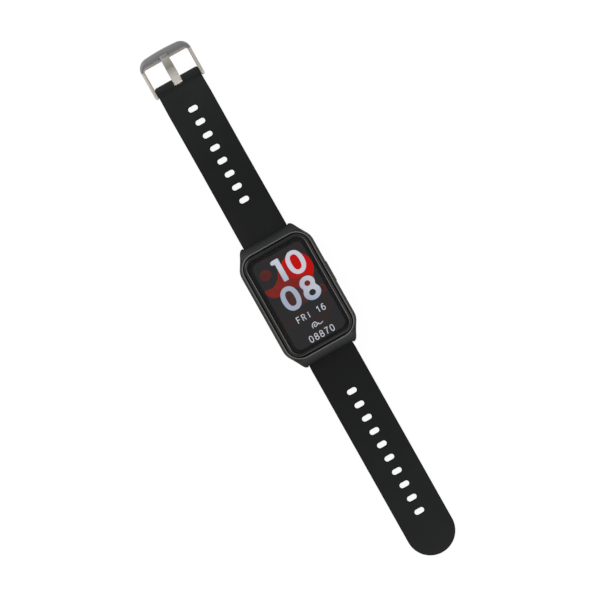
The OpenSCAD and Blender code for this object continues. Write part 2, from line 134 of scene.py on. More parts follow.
# ---- Meshes ----

def in_scene(name, data):
    thing = bpy.data.objects.new(name, data)
    bpy.context.scene.collection.objects.link(thing)
    return thing


def make_piece(name, points, faces, sharp=35, looks=(), marks=None):
    """Mesh object from points in millimetres; marks gives each face's number among the looks."""
    mesh = bpy.data.meshes.new(name)
    mesh.from_pydata([Vector(p) * MM for p in points], [], faces)
    for look in looks:
        mesh.materials.append(look.owner)
    if marks:
        mesh.polygons.foreach_set("material_index", marks)
    piece = in_scene(name, mesh)
    clean(piece, sharp)
    return piece


def clean(piece, sharp):
    """Welds doubles, turns normals outwards, and smooths all but edges over an angle."""
    work = bmesh.new()
    work.from_mesh(piece.data)
    bmesh.ops.remove_doubles(work, verts=work.verts, dist=2e-6)
    bmesh.ops.dissolve_degenerate(work, edges=work.edges, dist=1e-7)
    loose = [v for v in work.verts if not v.link_faces]
    bmesh.ops.delete(work, geom=loose, context="VERTS")
    bmesh.ops.recalc_face_normals(work, faces=work.faces)
    work.to_mesh(piece.data)
    work.free()
    piece.data.shade_smooth()
    piece.data.set_sharp_from_angle(angle=radians(sharp))


def loft(rings, around=False):
    """Skin over rings of equal length, capped unless it goes around."""
    count = len(rings[0])
    points = [p for ring in rings for p in ring]
    total = len(points)
    faces = []
    for a in range(0, total if around else total - count, count):
        b = (a + count) % total
        for i in range(count):
            j = (i + 1) % count
            faces.append((a + i, a + j, b + j, b + i))
    if not around:
        faces += [tuple(range(count)), tuple(range(total - count, total))]
    return points, faces


def joined(parts):
    """One list of points and of faces from several."""
    points, faces = [], []
    for part_points, part_faces in parts:
        start = len(points)
        points += part_points
        faces += [tuple(i + start for i in face) for face in part_faces]
    return points, faces


def mirrored(parts, sign):
    points, faces = parts
    return [(x, sign * y, z) for x, y, z in points], faces


def apply_modifiers(piece):
    depsgraph = bpy.context.evaluated_depsgraph_get()
    mesh = bpy.data.meshes.new_from_object(piece.evaluated_get(depsgraph))
    piece.modifiers.clear()
    piece.data = mesh


def cut(piece, parts, sharp=35):
    """Cuts closed shapes, given as points and faces, out of a piece."""
    cutter = make_piece("cutter", *joined(parts))
    modifier = piece.modifiers.new("cut", "BOOLEAN")
    modifier.operation = "DIFFERENCE"
    modifier.solver = "EXACT"
    modifier.object = cutter
    apply_modifiers(piece)
    bpy.data.objects.remove(cutter)
    clean(piece, sharp)


def bevelled(piece, width, angle, sharp):
    """Rounds the edges sharper than an angle, in millimetres."""
    bevel = piece.modifiers.new("bevel", "BEVEL")
    bevel.width, bevel.segments = width * MM, 3
    bevel.limit_method, bevel.angle_limit = "ANGLE", radians(angle)
    apply_modifiers(piece)
    clean(piece, sharp)


def arc(centre, radius, start, end, steps):
    """Points of an arc in degrees, both ends included."""
    angles = [radians(start + (end - start) * k / steps) for k in range(steps + 1)]
    return [(centre[0] + radius * cos(a), centre[1] + radius * sin(a)) for a in angles]


def block(low, high):
    """Points and faces of a box between two corners."""
    xs, ys, zs = zip(low, high)
    corners = [(x, y, z) for z in zs for y in ys for x in xs]
    faces = [(0, 2, 3, 1), (4, 5, 7, 6), (0, 1, 5, 4), (1, 3, 7, 5), (3, 2, 6, 7), (2, 0, 4, 6)]
    return corners, faces


def rod_x(axis, radius, x0, x1, sides=32):
    """A round rod along X, about an axis given as (y, z)."""
    circle = arc(axis, radius, 0, 360 * (sides - 1) / sides, sides - 1)
    return loft([[(x, y, z) for y, z in circle] for x in (x0, x1)])


def at_height(ring, z):
    return [(x, y, z) for x, y in ring]


def mixed(list_a, list_b, share):
    """Point by point between two lists of points."""
    return [tuple(u + (v - u) * share for u, v in zip(a, b)) for a, b in zip(list_a, list_b)]


def from_table(table, y):
    """Value at y from a table of (y, value), straight between its rows."""
    for (y0, v0), (y1, v1) in zip(table, table[1:]):
        if y <= y1:
            return v0 + (v1 - v0) * max((y - y0) / (y1 - y0), 0)
    return table[-1][1]


# ---- Outlines of the case ----

_chamfer = Vector((CASE_HALF_L - SIDE_HALF_L, CASE_HALF_W - END_HALF_W)).normalized()
CHAMFER_TURN = degrees(atan2(_chamfer.y, _chamfer.x))
CHAMFER_OFFSET = _chamfer.dot(Vector((CASE_HALF_W, SIDE_HALF_L)))


def chamfered(half_w, half_l, offset, side_r, end_r):
    """Oblong with chamfered corners, rounded at both ends of each chamfer."""
    side = (half_w - side_r, (offset - side_r - _chamfer.x * (half_w - side_r)) / _chamfer.y)
    end = ((offset - end_r - _chamfer.y * (half_l - end_r)) / _chamfer.x, half_l - end_r)
    steps = 6
    quarter = [(half_w, side[1] * k / steps) for k in range(steps)]
    quarter += arc(side, side_r, 0, CHAMFER_TURN, 8)
    quarter += arc(end, end_r, CHAMFER_TURN, 90, 12)
    quarter += [(end[0] * (1 - k / steps), half_l) for k in range(1, steps + 1)]
    ring = quarter + [(-x, y) for x, y in quarter[-2::-1]]
    return ring + [(-x, -y) for x, y in quarter[1:]] + [(x, -y) for x, y in quarter[-2:0:-1]]


def body_ring(inset):
    half_w, half_l, offset = (size - inset for size in (CASE_HALF_W, CASE_HALF_L, CHAMFER_OFFSET))
    return chamfered(half_w, half_l, offset, SHOULDER_R - inset, TIP_R - inset * 0.3)


def oblong_ring(half_w, half_l, radius):
    """Oblong with round corners, point for point like chamfered()."""
    corner = Vector((half_w - radius, half_l - radius))
    return chamfered(half_w, half_l, _chamfer.dot(corner) + radius, radius, radius)


def rim_ring(inset):
    return oblong_ring(RIM_HALF_W - inset, RIM_HALF_L - inset, RIM_R - inset)


# ---- Case ----

def wall_lean(z):
    """Share of the way from the body's outline to the rim's, at a height."""
    rise = RIM_Z - SHOULDER_Z
    soft = 0.6
    if z <= SHOULDER_Z - soft:
        return 0
    if z < SHOULDER_Z + soft:
        return (z - SHOULDER_Z + soft) ** 2 / (4 * soft * rise)
    return (z - SHOULDER_Z) / rise


def wall_ring(z):
    """Ring of the outer wall: the sides lean in straight, and the ends are crowned."""
    share = wall_lean(z)
    crowned = share**1.55
    pairs = zip(body_ring(0), rim_ring(0))
    return [(a[0] + (b[0] - a[0]) * share, a[1] + (b[1] - a[1]) * crowned, z) for a, b in pairs]


def case_rings():
    """From the foot up the wall, over the rim and down the inside."""
    foot = [(0, 1.62), (0.03, 1.46), (0.12, 1.32), (1.3, 0.16), (1.45, 0.05), (1.66, 0)]
    rings = [at_height(body_ring(inset), FOOT_Z + rise) for rise, inset in foot]
    walls = [3.4, 4.4, 5.2, 5.8, 6.1, 6.4, 6.7, 7, 7.5, 8, 8.5, 9, 9.4, 9.6, 9.75]
    rings += [wall_ring(z) for z in walls]
    bead = [
        (0.12, 0), (0.05, 0.04), (0, 0.12), (0, 0.36), (0.06, 0.48), (0.16, 0.6), (0.3, 0.68),
    ]
    rings += [at_height(rim_ring(inset), RIM_Z - drop) for drop, inset in bead]
    rings += [at_height(rim_ring(0.72), z) for z in (9.6, LEDGE_Z)]
    steps = [
        (DISPLAY_ROOM, LEDGE_Z, CAVITY_TOP),
        (CAVITY, CAVITY_TOP, COVER_TOP),
        (COVER_ROOM, COVER_TOP, FOOT_Z),
    ]
    for room, top, bottom in steps:
        rings += [at_height(oblong_ring(*room), z) for z in (top, bottom)]
    return rings


def make_case_shell():
    shell = make_piece("case_shell_finish", *loft(case_rings(), around=True))
    far = CASE_HALF_L + 5
    for inner, top in ((POCKET_INNER, POCKET_ROOF), (HOOD_END, RIM_Z + 1)):
        pocket = block((-POCKET_HALF_W, inner, -1), (POCKET_HALF_W, far, top))
        cut(shell, [pocket, mirrored(pocket, -1)])
    axes = [(end * LUG_AXIS[0], LUG_AXIS[1]) for end in (-1, 1)]
    cut(shell, [rod_x(axis, PIN_HOLE_R, -LUG_PIN_END, LUG_PIN_END, 24) for axis in axes])
    cut(shell, [button_solid([(15, -0.12), (CASE_HALF_W + 2, -0.12)])])
    cut(shell, [rod_x(BUTTON_AXIS, SWITCH_HOLE_R, 13, 15.5)])
    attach(shell, "case")
    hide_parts("case_shell")
    paint(shell, case_metal())
    # A painted highlight round the top of the rim.
    second_look(shell, finish("rim_edge"), on_painted_rim_highlight)


def on_painted_rim_highlight(centre, normal):
    """True on the painted highlight round the top of the rim."""
    inset = oblong_inset(centre, RIM_HALF_W, RIM_HALF_L, RIM_R)
    return centre.z > RIM_Z - 0.16 and -0.06 < inset < 0.36


def oblong_inset(point, half_w, half_l, radius):
    """How far a point is inside the outline of an oblong with round corners."""
    over = Vector((abs(point.x) - half_w + radius, abs(point.y) - half_l + radius))
    outside = Vector((max(over.x, 0), max(over.y, 0))).length
    return radius - outside - min(max(over.x, over.y), 0)


def second_look(piece, look, chosen):
    """Gives the faces that chosen(centre in millimetres, normal) picks another finish."""
    piece.data.materials.append(look.owner)
    number = len(piece.data.materials) - 1
    for face in piece.data.polygons:
        if chosen(face.center / MM, face.normal):
            face.material_index = number


# The glass's outline, and how far inside it the band of painted highlight starts and ends
GLASS_HALF_W, GLASS_HALF_L, GLASS_R = GLASS_HIGH.x, GLASS_HIGH.y - 0.3, 5
GLASS_LINE = (0.82, 1.2)


def glass_ring(inset):
    return oblong_ring(GLASS_HALF_W - inset, GLASS_HALF_L - inset, GLASS_R - inset)


def make_cover_glass():
    """See-through sheet with a rounded edge. It lies just over the display's layers."""
    start, end = GLASS_LINE
    edge = start - 0.04
    rings = [at_height(glass_ring(0), GLASS_LOW.z + 0.12)]
    curve = [(i, edge - h) for i, h in arc((edge, 0), edge, 180, 90, 8)]
    flat = [(inset, 0) for inset in (start, end, end + 0.1, end + 0.5)]
    rings += [at_height(glass_ring(inset), GLASS_HIGH.z - drop) for inset, drop in curve + flat]
    glass = make_piece("cover_glass_finish", *loft(rings), sharp=50)
    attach(glass, "case")
    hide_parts("cover_glass")
    paint(glass, clear_glass())
    second_look(glass, bonded_face(), lambda centre, normal: normal.z < -0.9)
    second_look(glass, finish("glass_rim"), lambda centre, normal: glass_inset(centre, normal) < start)
    # A band of painted highlight where the glass starts to curve.
    second_look(glass, glass_line(), lambda centre, normal: start < glass_inset(centre, normal) < end)


def glass_inset(centre, normal):
    """How far a face of the glass is inside its outline, or far inside for the underside."""
    if normal.z < -0.9:
        return GLASS_HIGH.y
    return oblong_inset(centre, GLASS_HALF_W, GLASS_HALF_L, GLASS_R)


# ---- Side button ----

def button_solid(stations):
    """Solid along X in the button's outline, from stations of (x, inset)."""
    y, z = BUTTON_AXIS
    radius = (BUTTON_HIGH.z - BUTTON_LOW.z) / 2
    half = (BUTTON_HIGH.y - BUTTON_LOW.y) / 2 - radius
    rings = []
    for x, inset in stations:
        outline = arc((y + half, z), radius - inset, -90, 90, 14)
        outline += arc((y - half, z), radius - inset, 90, 270, 14)
        rings.append([(x, py, pz) for py, pz in outline])
    return loft(rings)


def make_side_button():
    face = BUTTON_HIGH.x
    edge = 0.35
    stations = [(15.24, 0.06), (15.3, 0)]
    stations += [(face - edge + dx, edge - di) for di, dx in arc((0, 0), edge, 0, 90, 5)]
    stations += [(face - 0.02, 0.6), (face - 0.1, 0.85), (face - 0.12, 1.1)]
    stem = rod_x(BUTTON_AXIS, 0.85, BUTTON_LOW.x, 15.26)
    button = make_piece("side_button_finish", *joined([button_solid(stations), stem]))
    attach(button, "button")
    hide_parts("side_button")
    paint(button, finish("button_metal"))


# ---- Straps ----

def strap_levels(y):
    """Height of a strap's top and underside at y."""
    leave = radians(77)
    top_y = LUG_AXIS[0] + LUG_BARREL_R * cos(leave)
    top_z = LUG_AXIS[1] + LUG_BARREL_R * sin(leave)
    low_y, low_z = LUG_AXIS[0] - LUG_BARREL_R * 0.17, LUG_AXIS[1] - LUG_BARREL_R * 0.985
    round_part = sqrt(max(LUG_BARREL_R**2 - (y - LUG_AXIS[0]) ** 2, 0))
    if y < top_y:
        top = LUG_AXIS[1] + round_part
    else:
        top = STRAP_T + (top_z - STRAP_T) * max(1 - (y - top_y) / (DROOP_Y - top_y), 0) ** 1.5
    if y < low_y:
        low = LUG_AXIS[1] - round_part
    else:
        low = low_z * max(1 - (y - low_y) / (TOUCH_Y - low_y), 0) ** 1.5
    return top, low


def buckle_end_levels(y):
    """The same where the strap swells round the buckle's bar."""
    if y > BUCKLE_AXIS[0]:
        half = sqrt(max(BUCKLE_BARREL_R**2 - (y - BUCKLE_AXIS[0]) ** 2, 0))
        return BUCKLE_BARREL_R + half, BUCKLE_BARREL_R - half
    top, low = strap_levels(y)
    share = max((y - SWELL_Y) / (BUCKLE_AXIS[0] - SWELL_Y), 0)
    swell = (2 * BUCKLE_BARREL_R - STRAP_T) * (1 - cos(pi * share)) / 2
    crease = 0.5 * exp(-(((y - CREASE_Y) / 0.55) ** 2))
    return top + swell - crease, low


def strap_section(y, half_w, normal, levels):
    """Closed section of a strap with round edges; normal points out of its outline on +X."""
    flat_y = y - STRAP_EDGE * normal[1]
    top, low = levels(flat_y)
    reach = min(CELL_HALF_W, 0.5 * half_w)
    across = [reach * (1 - 2 * k / CELL_STEPS) for k in range(CELL_STEPS + 1)]
    radius = min((top - low) / 2, STRAP_EDGE)

    def side(sign, angles, level, up):
        points = []
        for a in angles:
            inset = radius * (1 - cos(a))
            drop = radius * (1 - sin(a))
            x = max(half_w - inset * normal[0], 0)
            points.append((sign * x, y - inset * normal[1], level - up * drop))
        return points

    steps = [radians(18 * k) for k in range(6)]
    section = side(1, steps, top, 1)
    section += [(x, flat_y, top) for x in across]
    section += side(-1, steps[::-1], top, 1)
    section += side(-1, steps, low, -1)
    section += [(-x, flat_y, low) for x in across]
    section += side(1, steps[::-1], low, -1)
    return section


# First point of a section's top and of its underside
TOP_START = 6
LOW_START = TOP_START + CELL_STEPS + 1 + 12


def slot_outline(cell, centre_y, grow):
    """Outline of a slot, grown, point for point like its cell."""
    straight = SLOT_HALF_L - SLOT_R
    outline = []
    for x, y in cell:
        core = max(min(x, straight), -straight)
        way = Vector((x - core, y - centre_y)).normalized()
        outline.append((core + way.x * (SLOT_R + grow), centre_y + way.y * (SLOT_R + grow)))
    return outline


def slot_patch(centre_y, half_pitch, levels):
    """Skin from a slot's cell on top, through the strap, to its cell underneath."""
    steps = [2 * k / CELL_STEPS - 1 for k in range(CELL_STEPS)]
    cell = [(CELL_HALF_W * t, centre_y - half_pitch) for t in steps]
    cell += [(CELL_HALF_W, centre_y + half_pitch * t) for t in steps]
    cell += [(-CELL_HALF_W * t, centre_y + half_pitch) for t in steps]
    cell += [(-CELL_HALF_W, centre_y - half_pitch * t) for t in steps]
    top = [(0.5, 0), (0.36, -0.02), (0.2, -0.1), (0.07, -0.26), (0, -0.5)]
    low = [(0, 0.45), (0.03, 0.2), (0.12, 0.06), (0.26, 0)]
    rings = [[(x, y, levels(y)[0]) for x, y in cell]]
    for level, wall in enumerate((top, low)):
        for grow, rise in wall:
            outline = slot_outline(cell, centre_y, grow)
            rings.append([(x, y, levels(y)[level] + rise) for x, y in outline])
    rings.append([(x, y, levels(y)[1]) for x, y in cell])
    points, faces = loft(rings)
    return points, faces[:-2]


def strap_skin(rows, slots, pitch, levels):
    """Strap from rows of (y, half width, normal), with a patch for each slot."""
    sections = [strap_section(y, w, n, levels) for y, w, n in rows]
    points, faces = loft(sections)
    count = len(sections[0])
    centres = [FIRST_SLOT_Y + i * pitch for i in range(slots)]
    middle = [start + k for start in (TOP_START, LOW_START) for k in range(CELL_STEPS)]
    kept = []
    for face in faces[:-2]:
        row, column = divmod(face[0], count)
        y = (rows[row][0] + rows[row + 1][0]) / 2
        if not (column in middle and any(abs(y - c) < pitch / 2 for c in centres)):
            kept.append(face)
    patches = [slot_patch(y, pitch / 2, levels) for y in centres]
    return joined([(points, kept + faces[-2:])] + patches)


def body_rows(slots, pitch, widths):
    """Rows from the case's bar to the end of the last slot's cell."""
    turns = [radians(a) for a in (4, 15, 28, 42, 56, 70, 84)]
    barrel = [LUG_AXIS[0] - LUG_BARREL_R * cos(a) for a in turns]
    first = FIRST_SLOT_Y - pitch / 2
    ys = barrel + [barrel[-1] + (first - barrel[-1]) * k / 14 for k in range(1, 14)]
    cells = slots * CELL_STEPS
    ys += [first + pitch * k / CELL_STEPS for k in range(cells + 1)]
    return [(y, from_table(widths, y), (1, 0)) for y in ys]


def strap_piece(name, node, body, skin, sign, cutters):
    """Strap half with the bar's bore, the lever's window and its own cuts."""
    strap = make_piece(name, *mirrored(skin, sign), sharp=40)
    lever_window = block((4.9, 21, -1), (8.4, 26.2, LUG_AXIS[1]))
    for cutter in [rod_x(LUG_AXIS, BAR_BORE_R, -20, 20), lever_window] + cutters:
        cut(strap, [mirrored(cutter, sign)], sharp=40)
    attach(strap, body)
    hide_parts(node)
    paint(strap, silicone())
    # Painted shade on the slot walls, the rounded sides and the tail.
    second_look(strap, finish("moulded_edge"), on_strap_painted_shade)


def on_strap_painted_shade(centre, normal):
    """True on slot walls and on the strap's rounded sides and tail, which get painted shade."""
    by_slot = abs(centre.x) < SLOT_HALF_L + 0.6 and FIRST_SLOT_Y - 3 < abs(centre.y) < SWELL_Y - 1
    tail = centre.y < -FIRST_SLOT_Y
    return abs(normal.x) > 0.3 or ((by_slot or tail) and abs(normal.z) < 0.985)


def make_upper_strap():
    slots, pitch = 8, 5.96
    root = UPPER_HIGH.x
    widths = [(20, root), (30, root), (62, root - 0.12), (88, root - 0.03), (94, root - 0.15)]
    rows = body_rows(slots, pitch, widths)
    last, end, half = rows[-1][0], UPPER_HIGH.y, root - 0.15
    steps = 24
    ys = [last + (BUCKLE_AXIS[0] - last) * k / steps for k in range(1, steps + 1)]
    rows += [(y, from_table(widths, y), (1, 0)) for y in ys]
    turns = [radians(a) for a in (14, 28, 42, 56, 70, 82, 88)]
    barrel = [BUCKLE_AXIS[0] + BUCKLE_BARREL_R * sin(a) for a in turns]
    corner = 0.9
    for y in barrel:
        bite = max(y - (end - corner), 0)
        rows.append((y, half - corner + sqrt(max(corner**2 - bite**2, 0)), (1, 0)))
    skin = strap_skin(rows, slots, pitch, buckle_end_levels)
    notch_half = TONGUE_HIGH.x + 0.025
    notch = block((-notch_half, BUCKLE_AXIS[0] - 1.36, 0.38), (notch_half, end + 1, 6))
    gap = block((-notch_half, BUCKLE_AXIS[0] - 0.6, -1), (notch_half, end + 1, 2))
    bore = rod_x(BUCKLE_AXIS, BAR_BORE_R, -20, 20)
    strap_piece("upper_strap_finish", "upper_strap", "upper_band", skin, 1, [notch, gap, bore])


def make_lower_strap():
    slots, pitch = 10, 6.11
    root = 9.95
    tail_r = LOWER_HIGH.x
    tail_y = -LOWER_LOW.y - tail_r
    widths = [(20, root), (27.2, root), (28.4, root + 0.08), (tail_y, tail_r)]
    rows = body_rows(slots, pitch, widths)
    last = rows[-1][0]
    rows += [(last + (tail_y - last) * k / 3, from_table(widths, last), (1, 0)) for k in (1, 2)]
    for k in range(25):
        turn = radians(90 * k / 24)
        normal = (cos(turn), sin(turn))
        rows.append((tail_y + tail_r * normal[1], tail_r * normal[0], normal))
    skin = strap_skin(rows, slots, pitch, strap_levels)
    strap_piece("lower_strap_finish", "lower_strap", "lower_band", skin, -1, [])


# ---- Buckle ----

def buckle_stations():
    """From arm end to arm end: inner point, outer point and share of the bar's section."""
    half_w, front = BUCKLE_HIGH.x, BUCKLE_HIGH.y
    corner, inner_r, bow_r = 4.6, 0.8, 80
    stations = []
    turns = [radians(a) for a in (4, 12, 20, 28, 36, 44, 52, 60, 72, 85)]
    ys = [ARM_Y - ARM_R * cos(a) for a in turns]
    arm_top = front - corner
    ys += [ys[-1] + (arm_top - 0.6 - ys[-1]) * k / 8 for k in range(1, 9)]
    end_r = 0.85
    for y in ys:
        bite = max(BUCKLE_LOW.y + end_r - y, 0)
        inset = end_r - sqrt(end_r**2 - bite**2)
        stations.append(((ARM_HALF_GAP + inset, y), (half_w - inset, y), 0))
    outer = arc((half_w - corner, front - corner - 0.28), corner, 0, 86, 12)
    inner = arc((ARM_HALF_GAP - inner_r, OPENING_END - inner_r), inner_r, 0, 90, 12)
    for k, (i, o) in enumerate(zip(inner, outer)):
        stations.append((i, o, min(k / 9, 1)))
    x_outer, x_inner = outer[-1][0], inner[-1][0]
    for k in range(1, 11):
        t = 1 - k / 10
        x = x_outer * t
        y = front - bow_r + sqrt(bow_r**2 - x**2)
        stations.append(((x_inner * t, OPENING_END), (x, y), 1))
    return stations


def arm_section(y):
    """(share from inner to outer, height) round an arm."""
    if y < ARM_Y:
        half = sqrt(max(ARM_R**2 - (y - ARM_Y) ** 2, 0.01))
        top, low = ARM_R + half, ARM_R - half
    else:
        top, low = from_table([(ARM_Y, BUCKLE_HIGH.z), (OPENING_END - 0.6, 2.9)], y), 0
    soft = min((top - low) / 2, 0.5)
    return [
        (0, low + soft * 0.7), (0, (top + low) / 2), (0, top - soft), (0.03, top - soft * 0.6),
        (0.11, top - soft * 0.25), (0.24, top - 0.02), (0.5, top), (0.76, top - 0.03),
        (0.89, top - soft * 0.28), (0.97, top - soft * 0.65), (1, top - soft * 1.1),
        (1, (top + low) / 2), (1, low + soft * 0.7), (0.8, low + 0.02), (0.2, low + 0.02),
    ]


def bar_section():
    """The same across the front bar: a sloped strip inside, a flat, then a rounded nose."""
    return [
        (0, 0.3), (0, 1.4), (0, 2.3), (0.015, 2.42), (0.03, 2.48), (0.215, 2.86),
        (0.25, 2.9), (0.62, 2.82), (0.78, 2.6), (0.9, 2.25), (0.97, 1.9),
        (1, 1.45), (0.98, 0.75), (0.8, 0.02), (0.05, 0.02),
    ]


# Points of a section where the inner edge, the outer face and the nose's underside start
INNER_EDGE, FACE_EDGE, NOSE_END = 2, 5, 12


def buckle_mark(on_arm, point):
    """Number of a face's look: 0 the bright steel, 1 the front bar's face in painted shade, 2 the
    arms' inner edge in painted shade.
    """
    if on_arm:
        return 2 if INNER_EDGE <= point < FACE_EDGE else 0
    return 1 if FACE_EDGE <= point < NOSE_END else 0


def make_buckle_frame():
    half = buckle_stations()
    stations = half + [((-i[0], i[1]), (-o[0], o[1]), s) for i, o, s in reversed(half[:-1])]
    rings = []
    for inner, outer, share in stations:
        section = mixed(arm_section(inner[1]), bar_section(), share)
        inner, outer = Vector(inner), Vector(outer)
        rings.append([(*inner.lerp(outer, s), z) for s, z in section])
    points, faces = loft(rings)
    marks = [0] * len(faces)
    for number, face in enumerate(faces[:-2]):
        station, point = divmod(face[0], len(rings[0]))
        on_arm = stations[station][2] == stations[station + 1][2] == 0
        marks[number] = buckle_mark(on_arm, point)
    # Lit and shaded copies of one steel: painted shade on the front bar's face and on the arms' inner
    # edge.
    looks = [
        frame_steel(),
        steel("buckle_face", (139, 138, 139), 0.03),
        steel("arm_edge", (166, 159, 151), 0.03),
    ]
    buckle = make_piece("buckle_frame_finish", points, faces, 40, looks, marks)
    bore = rod_x(BUCKLE_AXIS, PIN_HOLE_R, -BUCKLE_PIN_END, BUCKLE_PIN_END, 24)
    cut(buckle, [bore], sharp=40)
    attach(buckle, "buckle")
    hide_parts("buckle_frame")


def make_buckle_tongue():
    """Blade that lies on the front bar, on a loop round the buckle's bar."""
    tip = TONGUE_HIGH.y
    rest_z = 3.02
    side = arc(BUCKLE_AXIS, 1.3, 90, 375, 28)
    y = BUCKLE_AXIS[0]
    side += [(y + 3, 2.36), (y + 5, 2.62), (y + 7, 2.86), (OPENING_END - 1, rest_z), (tip, rest_z)]
    side += [(tip, rest_z + 0.45), (tip - 0.2, rest_z + 0.68), (tip - 0.6, rest_z + 0.82)]
    side += [(tip - 1.4, rest_z + 0.88), (OPENING_END + 0.9, rest_z + 0.9)]
    side += [(OPENING_END - 1, rest_z + 0.9), (y + 7, 3.84), (y + 5, 3.72)]
    side += [(y + 3, 3.52), (y + 1.4, 3.3)]
    half = TONGUE_HIGH.x
    taper = [(y + 5, 1), (tip, 0.91)]
    rings = [[(x * from_table(taper, py), py, pz) for py, pz in side] for x in (-half, half)]
    tongue = make_piece("buckle_tongue_finish", *loft(rings), sharp=40)
    bevelled(tongue, 0.28, 60, 40)
    cut(tongue, [rod_x(BUCKLE_AXIS, 0.82, -5, 5, 40)], sharp=40)
    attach(tongue, "tongue")
    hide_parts("buckle_tongue")
    paint(tongue, tongue_steel())
    # A darker copy of the steel on the tip over the front bar: painted shade.
    tip_shade_look = steel("tongue_tip", (150, 149, 149), 0.02)
    second_look(tongue, tip_shade_look, lambda centre, normal: centre.y > OPENING_END + 0.85)


# ---- Springs inside the spring bars ----

def coil(low, high):
    """Compression spring along X that fills a box, with its end turns closed."""
    turns, per_turn, wire_r = 10, 20, 0.07
    mean_r = (high.z - low.z) / 2 - wire_r
    y, z = (low.y + high.y) / 2, (low.z + high.z) / 2
    run = high.x - low.x - 2 * wire_r
    rise = [(0, 0), (1, 2.2 * wire_r), (turns - 1, run - 2.2 * wire_r), (turns, run)]
    rings = []
    for k in range(turns * per_turn + 1):
        angle = 2 * pi * k / per_turn
        wire = arc((mean_r, low.x + wire_r + from_table(rise, k / per_turn)), wire_r, 0, 315, 7)
        rings.append([(x, y + r * cos(angle), z + r * sin(angle)) for r, x in wire])
    return loft(rings)


def make_spring(node, body):
    """Coil that fills the spring's box, on its own copy of the mesh."""
    low, high = box_mm(node)
    spring = make_piece(node + "_finish", *coil(low, high))
    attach(spring, body)
    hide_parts(node)
    paint(spring, finish("spring_wire"))
    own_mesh(spring)


def make_springs():
    for bar, body in (("upper", "upper_band"), ("lower", "lower_band"), ("buckle", "upper_band")):
        make_spring(bar + "_bar_spring", body)


# ---- Display ----

LIT_HALF_W = 11.3
LIT_HALF_L = 19.4
LIT_CENTRE = (0.2, -0.3)
ROW_STROKE = 0.36
SHOE_STROKE = 0.32
LAYER_Z = GLASS_LOW.z + 0.005
LAYER_T = 0.006


def inlay(outer, holes, z):
    """Thin closed plate in plan, with holes."""
    loops = [outer] + holes
    flat = [[Vector((x, y, 0)) for x, y in loop] for loop in loops]
    corners = [p for loop in loops for p in loop]
    triangles = tessellate_polygon(flat)
    count = len(corners)
    points = at_height(corners, z) + at_height(corners, z + LAYER_T)
    faces = [tuple(t) for t in triangles] + [tuple(i + count for i in t) for t in triangles]
    start = 0
    for loop in loops:
        for i in range(len(loop)):
            a, b = start + i, start + (i + 1) % len(loop)
            faces.append((a, b, b + count, a + count))
        start += len(loop)
    return points, faces


def ribbon(line, width, z, closed=False):
    """Thin plate of one width along a line in plan, mitred at its corners."""
    count = len(line)
    points = [Vector(p) for p in line]
    left, right = [], []
    for i, here in enumerate(points):
        before = (here - points[i - 1]).normalized() if closed or i else None
        after = (points[(i + 1) % count] - here).normalized() if closed or i < count - 1 else None
        before, after = before or after, after or before
        way = (before + after).normalized()
        reach = width / 2 / max(way.dot(after), 0.5)
        off = Vector((-way.y, way.x)) * reach
        left.append(tuple(here + off))
        right.append(tuple(here - off))
    if closed:
        return inlay(left, [right[::-1]], z)
    return inlay(left + right[::-1], [], z)


def oval(centre, half_w, half_h, steps=40, power=2):
    """Superellipse outline, anticlockwise from +X."""
    outline = []
    for k in range(steps):
        a = 2 * pi * k / steps
        c, s = cos(a), sin(a)
        x = copysign(abs(c) ** (2 / power), c) * half_w
        y = copysign(abs(s) ** (2 / power), s) * half_h
        outline.append((centre[0] + x, centre[1] + y))
    return outline


def smooth_loop(points):
    """Closed curve through points, by Catmull and Rom's rule."""
    steps = 8
    count = len(points)
    curve = []
    for i in range(count):
        p = [Vector(points[(i + d) % count]) for d in (-1, 0, 1, 2)]
        for k in range(steps):
            t = k / steps
            a = p[1] * 2
            b = (p[2] - p[0]) * t
            c = (p[0] * 2 - p[1] * 5 + p[2] * 4 - p[3]) * t**2
            d = (p[1] * 3 - p[0] - p[2] * 3 + p[3]) * t**3
            curve.append(tuple((a + b + c + d) / 2))
    return curve


def display_piece(name, parts, look):
    piece = make_piece(name, *joined(parts))
    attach(piece, "case")
    paint(piece, look)


def make_display_border():
    """Black border printed round the window, and the lit rectangle inside it."""
    display_piece("display_border", [inlay(glass_ring(0.1), [], LAYER_Z)], finish("border_ink"))
    x, y = LIT_CENTRE
    lit = [(px + x, py + y) for px, py in oblong_ring(LIT_HALF_W, LIT_HALF_L, 2.6)]
    display_piece("display_background", [inlay(lit, [], LAYER_Z + 0.01)], lit_background())


